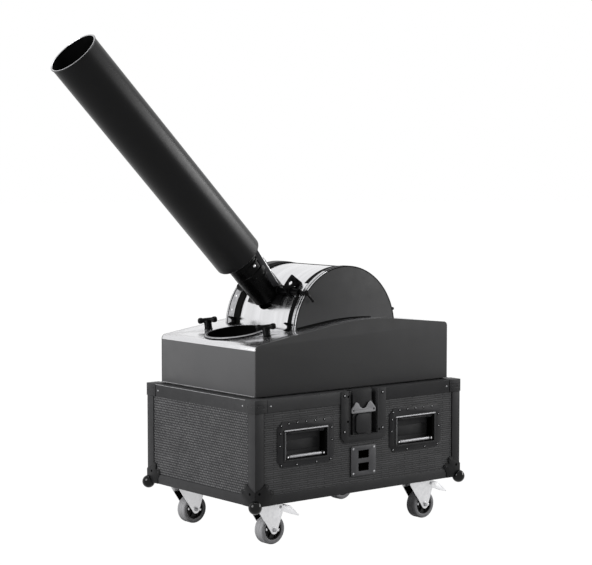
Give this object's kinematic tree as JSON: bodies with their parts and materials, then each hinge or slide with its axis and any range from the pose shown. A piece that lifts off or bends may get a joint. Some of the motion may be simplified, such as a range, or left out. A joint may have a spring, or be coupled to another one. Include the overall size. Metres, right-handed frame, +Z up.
{
  "type": "confetti blower",
  "caption": "Stage confetti blower in a wheeled flight case: a tilting barrel on a turning drum, a filling port, recessed handles, turn latches and a socket plate.",
  "frame": {"origin": "centre of the flight case's underside, where the floor board is flat", "axes": "+Z up; X along the long side of the case, the barrel points to -X; -Y is the face with the socket plate"},
  "size_m": [1.1296, 0.4976, 1.2684],
  "materials": {
    "barrel_black": "satin black coating",
    "black_trim": "black anodised extrusion",
    "silver_sheet": "bright smooth sheet",
    "fan_wheel": "plain bright",
    "motor_black": "black coated",
    "fan_grey": "grey coated sheet",
    "wood_board": "plywood with a dark grey patterned laminate",
    "grey_sheet": "dark grey powder coat",
    "black_steel": "black coated pressed steel",
    "latch_zinc": "dull zinc plated plate",
    "caster_zinc": "zinc plated pressing",
    "grey_rubber": "grey soft rubber",
    "ball_steel": "bright ball on a black brace",
    "bail_zinc": "zinc plated",
    "socket_grey": "grey coated plate"
  },
  "bodies": {
    "case": {"bottom_rim": "black_trim", "deck": "silver_sheet", "fan_motor": "motor_black", "fan_scroll": "fan_grey", "floor_board": "wood_board", "front_board": "wood_board", "front_drum_cheek": "grey_sheet", "front_housing_side": "grey_sheet", "front_latch_dish": "black_steel", "front_left_caster_plate": "caster_zinc", "front_left_corner_angle": "black_trim", "front_left_corner_ball": "ball_steel", "front_left_handle_dish": "black_steel", "front_right_caster_plate": "caster_zinc", "front_right_corner_angle": "black_trim", "front_right_corner_ball": "ball_steel", "front_right_handle_dish": "black_steel", "hopper": "silver_sheet", "housing_frame": "grey_sheet", "left_end_board": "wood_board", "rear_board": "wood_board", "rear_drum_cheek": "grey_sheet", "rear_housing_side": "grey_sheet", "rear_latch_dish": "black_steel", "rear_left_caster_plate": "caster_zinc", "rear_left_corner_angle": "black_trim", "rear_left_corner_ball": "ball_steel", "rear_left_handle_dish": "black_steel", "rear_right_caster_plate": "caster_zinc", "rear_right_corner_angle": "black_trim", "rear_right_corner_ball": "ball_steel", "rear_right_handle_dish": "black_steel", "right_end_board": "wood_board", "socket_plate": "socket_grey", "top_rim": "black_trim"},
    "barrel_assembly": {"drum_shell": "silver_sheet", "barrel": "barrel_black", "barrel_saddle": "barrel_black"},
    "lock_lever": {"lock_lever": "barrel_black"},
    "front_port_screw": {"front_port_screw": "barrel_black"},
    "front_latch_hook": {"front_latch_hook": "latch_zinc"},
    "front_latch_wing": {"front_latch_wing": "black_steel"},
    "front_left_handle_bail": {"front_left_handle_bail": "bail_zinc"},
    "front_left_caster_fork": {"front_left_caster_fork": "caster_zinc"},
    "front_left_caster_wheel": {"front_left_caster_wheel": "grey_rubber"},
    "front_left_brake_pedal": {"front_left_brake_pedal": "caster_zinc"},
    "front_right_handle_bail": {"front_right_handle_bail": "bail_zinc"},
    "front_right_caster_fork": {"front_right_caster_fork": "caster_zinc"},
    "front_right_caster_wheel": {"front_right_caster_wheel": "grey_rubber"},
    "front_right_brake_pedal": {"front_right_brake_pedal": "caster_zinc"},
    "rear_port_screw": {"rear_port_screw": "barrel_black"},
    "rear_latch_hook": {"rear_latch_hook": "latch_zinc"},
    "rear_latch_wing": {"rear_latch_wing": "black_steel"},
    "rear_left_handle_bail": {"rear_left_handle_bail": "bail_zinc"},
    "rear_left_caster_fork": {"rear_left_caster_fork": "caster_zinc"},
    "rear_left_caster_wheel": {"rear_left_caster_wheel": "grey_rubber"},
    "rear_right_handle_bail": {"rear_right_handle_bail": "bail_zinc"},
    "rear_right_caster_fork": {"rear_right_caster_fork": "caster_zinc"},
    "rear_right_caster_wheel": {"rear_right_caster_wheel": "grey_rubber"},
    "fan_impeller": {"fan_impeller": "fan_wheel"}
  },
  "joints": [
    {"name": "barrel_elevation", "type": "hinge", "parent": "case", "child": "barrel_assembly", "pos_m": [0.017, 0, 0.408], "axis": [0, 1, 0], "range_deg": [-14, 44]},
    {"name": "lock_lever_turn", "type": "hinge", "parent": "barrel_assembly", "child": "lock_lever", "pos_m": [-0.12268, -0.156, 0.51557], "axis": [0, 1, 0], "range_deg": [-90, 0]},
    {"name": "front_port_screw_turn", "type": "hinge", "parent": "case", "child": "front_port_screw", "pos_m": [-0.22707, -0.125, 0.40824], "axis": [-0.1444, 0, 0.9895], "continuous": true},
    {"name": "rear_port_screw_turn", "type": "hinge", "parent": "case", "child": "rear_port_screw", "pos_m": [-0.22707, 0.125, 0.40824], "axis": [-0.1444, 0, 0.9895], "continuous": true},
    {"name": "front_latch_turn", "type": "hinge", "parent": "case", "child": "front_latch_wing", "pos_m": [0.004, -0.235, 0.177], "axis": [0, -1, 0], "range_deg": [0, 90]},
    {"name": "front_latch_slide", "type": "slide", "parent": "case", "child": "front_latch_hook", "axis": [0, 0, 1], "range_m": [0, 0.012]},
    {"name": "rear_latch_turn", "type": "hinge", "parent": "case", "child": "rear_latch_wing", "pos_m": [-0.004, 0.235, 0.177], "axis": [0, 1, 0], "range_deg": [0, 90]},
    {"name": "rear_latch_slide", "type": "slide", "parent": "case", "child": "rear_latch_hook", "axis": [0, 0, 1], "range_m": [0, 0.012]},
    {"name": "front_left_handle_lift", "type": "hinge", "parent": "case", "child": "front_left_handle_bail", "pos_m": [-0.187, -0.2282, 0.175], "axis": [-1, 0, 0], "range_deg": [0, 90], "stiffness_Nm_per_rad": 0.3, "springref_deg": -17.19},
    {"name": "front_right_handle_lift", "type": "hinge", "parent": "case", "child": "front_right_handle_bail", "pos_m": [0.187, -0.2282, 0.175], "axis": [-1, 0, 0], "range_deg": [0, 90], "stiffness_Nm_per_rad": 0.3, "springref_deg": -17.19},
    {"name": "rear_left_handle_lift", "type": "hinge", "parent": "case", "child": "rear_left_handle_bail", "pos_m": [0.187, 0.2282, 0.175], "axis": [1, 0, 0], "range_deg": [0, 90], "stiffness_Nm_per_rad": 0.3, "springref_deg": -17.19},
    {"name": "rear_right_handle_lift", "type": "hinge", "parent": "case", "child": "rear_right_handle_bail", "pos_m": [-0.187, 0.2282, 0.175], "axis": [1, 0, 0], "range_deg": [0, 90], "stiffness_Nm_per_rad": 0.3, "springref_deg": -17.19},
    {"name": "front_left_caster_swivel", "type": "hinge", "parent": "case", "child": "front_left_caster_fork", "pos_m": [-0.273, -0.168, 0], "axis": [0, 0, 1], "continuous": true},
    {"name": "front_left_wheel_spin", "type": "hinge", "parent": "front_left_caster_fork", "child": "front_left_caster_wheel", "pos_m": [-0.2535, -0.168, -0.075], "axis": [0, 1, 0], "continuous": true},
    {"name": "front_left_brake_press", "type": "hinge", "parent": "front_left_caster_fork", "child": "front_left_brake_pedal", "pos_m": [-0.233, -0.168, -0.0186], "axis": [0, 1, 0], "range_deg": [0, 10]},
    {"name": "front_right_caster_swivel", "type": "hinge", "parent": "case", "child": "front_right_caster_fork", "pos_m": [0.247, -0.168, 0], "axis": [0, 0, 1], "continuous": true},
    {"name": "front_right_wheel_spin", "type": "hinge", "parent": "front_right_caster_fork", "child": "front_right_caster_wheel", "pos_m": [0.2665, -0.168, -0.075], "axis": [0, 1, 0], "continuous": true},
    {"name": "front_right_brake_press", "type": "hinge", "parent": "front_right_caster_fork", "child": "front_right_brake_pedal", "pos_m": [0.287, -0.168, -0.0186], "axis": [0, 1, 0], "range_deg": [0, 10]},
    {"name": "rear_left_caster_swivel", "type": "hinge", "parent": "case", "child": "rear_left_caster_fork", "pos_m": [-0.273, 0.168, 0], "axis": [0, 0, 1], "continuous": true},
    {"name": "rear_left_wheel_spin", "type": "hinge", "parent": "rear_left_caster_fork", "child": "rear_left_caster_wheel", "pos_m": [-0.2535, 0.168, -0.075], "axis": [0, 1, 0], "continuous": true},
    {"name": "rear_right_caster_swivel", "type": "hinge", "parent": "case", "child": "rear_right_caster_fork", "pos_m": [0.247, 0.168, 0], "axis": [0, 0, 1], "continuous": true},
    {"name": "rear_right_wheel_spin", "type": "hinge", "parent": "rear_right_caster_fork", "child": "rear_right_caster_wheel", "pos_m": [0.2665, 0.168, -0.075], "axis": [0, 1, 0], "continuous": true},
    {"name": "fan_spin", "type": "hinge", "parent": "case", "child": "fan_impeller", "pos_m": [0.112, 0, 0.116], "axis": [0, 1, 0], "continuous": true}
  ],
  "couplings": [
    {"joint": "front_latch_slide", "follows": "front_latch_turn", "m_per_rad": 0.0076},
    {"joint": "rear_latch_slide", "follows": "rear_latch_turn", "m_per_rad": 0.0076}
  ]
}
